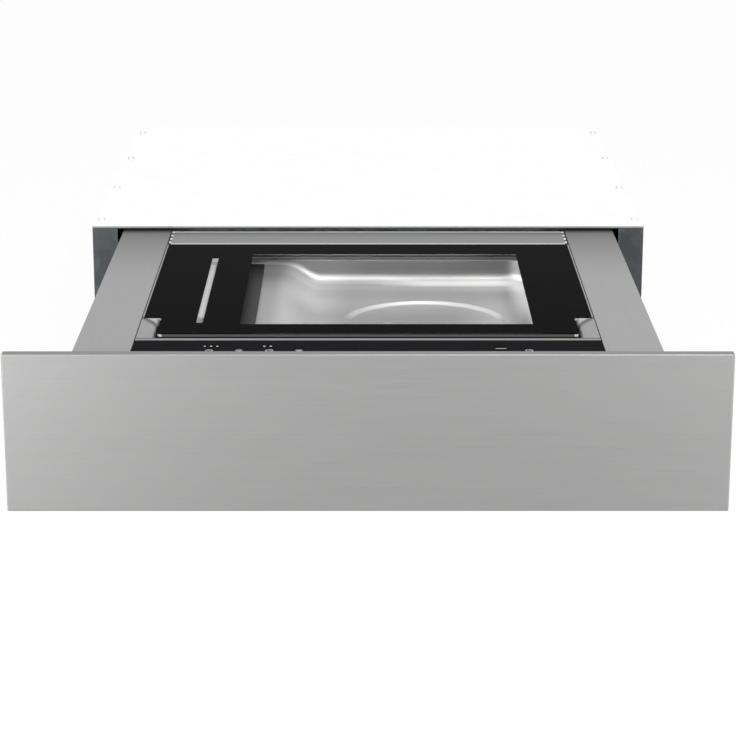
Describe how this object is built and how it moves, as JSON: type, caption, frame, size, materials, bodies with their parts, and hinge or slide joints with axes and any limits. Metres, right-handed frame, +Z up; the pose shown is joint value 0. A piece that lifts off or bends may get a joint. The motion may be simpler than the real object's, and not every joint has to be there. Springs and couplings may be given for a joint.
{
  "type": "vacuum sealing drawer",
  "caption": "Built-in drawer on full-extension runners with a vacuum chamber under a hinged glass lid, a sealing bar, touch controls and a pump unit.",
  "frame": {"origin": "middle of the front plane of the carcass, at the level of its underside", "axes": "+X to the user's right, +Y to the back of the niche, +Z up; the drawer opens along -Y"},
  "size_m": [0.597, 0.997, 0.1366],
  "materials": {
    "front_steel": "brushed stainless steel, grain along the width",
    "deck_steel": "brushed stainless steel, grain along the depth",
    "tub_steel": "drawn stainless steel, satin",
    "zinc_sheet": "galvanised sheet, matte",
    "runner_steel": "zinc plated, satin",
    "ball_row": "polished balls in a zinc-plated retainer",
    "bright_steel": "polished",
    "pane": "clear toughened glass, polished",
    "enamel": "black enamel fired onto the glass, gloss",
    "control_black": "black glass, gloss",
    "aluminium": "natural anodised, satin",
    "cast_aluminium": "cast, matte",
    "black_plastic": "moulded, matte",
    "heating_band": "woven cover of the heating band, matte",
    "silicone": "silicone, matte",
    "black_rubber": "rubber, matte",
    "board": "circuit board, satin",
    "transformer": "varnished laminations, satin"
  },
  "bodies": {
    "carcass": {"carcass_base": "zinc_sheet", "carcass_side_left": "zinc_sheet", "carcass_side_right": "zinc_sheet", "carcass_rear_panel": "zinc_sheet", "carcass_top_cover": "zinc_sheet", "carcass_screws": "bright_steel", "runner_brackets": "zinc_sheet", "runner_outer_left": "runner_steel", "runner_outer_right": "runner_steel", "push_latch_housing": "black_plastic", "push_latch_spring": "bright_steel", "mains_inlet": "black_plastic", "power_lead": "black_rubber"},
    "latch_plunger": {"push_latch_plunger": "black_plastic"},
    "middle_runner_left": {"runner_middle_left": "runner_steel"},
    "middle_runner_right": {"runner_middle_right": "runner_steel"},
    "outer_balls_left": {"ball_cage_outer_left": "ball_row"},
    "outer_balls_right": {"ball_cage_outer_right": "ball_row"},
    "inner_balls_left": {"ball_cage_inner_left": "ball_row"},
    "inner_balls_right": {"ball_cage_inner_right": "ball_row"},
    "drawer": {"front_panel": "front_steel", "front_carrier": "black_plastic", "front_buffers": "black_rubber", "drawer_floor": "zinc_sheet", "drawer_front_wall": "zinc_sheet", "drawer_rear_wall": "zinc_sheet", "drawer_side_left": "zinc_sheet", "drawer_side_right": "zinc_sheet", "runner_inner_left": "runner_steel", "runner_inner_right": "runner_steel", "deck_rail_left": "deck_steel", "deck_rail_right": "deck_steel", "deck_frame": "deck_steel", "control_glass": "control_black", "control_housing": "black_plastic", "control_board": "board", "chamber_tub": "tub_steel", "chamber_gasket": "silicone", "suction_port": "tub_steel", "sealing_bar_carrier": "black_plastic", "bar_lift_cylinders": "aluminium", "hinge_brackets": "zinc_sheet", "hinge_springs": "bright_steel", "motor_housing": "cast_aluminium", "pump_body": "cast_aluminium", "pump_feet": "black_rubber", "suction_hose": "silicone", "transformer": "transformer", "power_board": "board", "valve_block": "black_plastic"},
    "motor_rotor": {"motor_shaft": "bright_steel", "cooling_fan": "black_plastic"},
    "sealing_bar": {"sealing_bar": "aluminium", "heating_band": "heating_band"},
    "lid": {"lid_glass": "pane", "lid_print": "enamel", "counter_bar": "silicone", "hinge_profile": "aluminium", "hinge_end_caps": "black_plastic", "hinge_pins": "bright_steel"}
  },
  "joints": [
    {"name": "drawer_slide", "type": "slide", "parent": "carcass", "child": "drawer", "axis": [0, -1, 0], "range_m": [-0.443, 0], "deforming": ["power_lead"]},
    {"name": "middle_runner_slide_left", "type": "slide", "parent": "carcass", "child": "middle_runner_left", "axis": [0, -1, 0], "range_m": [-0.2215, 0]},
    {"name": "middle_runner_slide_right", "type": "slide", "parent": "carcass", "child": "middle_runner_right", "axis": [0, -1, 0], "range_m": [-0.2215, 0]},
    {"name": "outer_balls_slide_left", "type": "slide", "parent": "carcass", "child": "outer_balls_left", "axis": [0, -1, 0], "range_m": [-0.11075, 0]},
    {"name": "outer_balls_slide_right", "type": "slide", "parent": "carcass", "child": "outer_balls_right", "axis": [0, -1, 0], "range_m": [-0.11075, 0]},
    {"name": "inner_balls_slide_left", "type": "slide", "parent": "carcass", "child": "inner_balls_left", "axis": [0, -1, 0], "range_m": [-0.33225, 0]},
    {"name": "inner_balls_slide_right", "type": "slide", "parent": "carcass", "child": "inner_balls_right", "axis": [0, -1, 0], "range_m": [-0.33225, 0]},
    {"name": "lid_hinge", "type": "hinge", "parent": "drawer", "child": "lid", "pos_m": [0, -0.015, 0.1185], "axis": [-1, 0, 0], "range_deg": [0, 80]},
    {"name": "sealing_bar_lift", "type": "slide", "parent": "drawer", "child": "sealing_bar", "axis": [0, 0, 1], "range_m": [0, 0.0029]},
    {"name": "motor_spin", "type": "hinge", "parent": "drawer", "child": "motor_rotor", "pos_m": [-0.05, -0.045, 0.05], "axis": [1, 0, 0], "continuous": true},
    {"name": "latch_press", "type": "slide", "parent": "carcass", "child": "latch_plunger", "axis": [0, 1, 0], "range_m": [0, 0.005], "stiffness_N_per_m": 400, "springref_m": -0.002, "deforming": ["push_latch_spring"]}
  ],
  "couplings": [
    {"joint": "middle_runner_slide_left", "follows": "drawer_slide", "ratio": 0.5},
    {"joint": "middle_runner_slide_right", "follows": "drawer_slide", "ratio": 0.5},
    {"joint": "outer_balls_slide_left", "follows": "drawer_slide", "ratio": 0.25},
    {"joint": "outer_balls_slide_right", "follows": "drawer_slide", "ratio": 0.25},
    {"joint": "inner_balls_slide_left", "follows": "drawer_slide", "ratio": 0.75},
    {"joint": "inner_balls_slide_right", "follows": "drawer_slide", "ratio": 0.75}
  ]
}
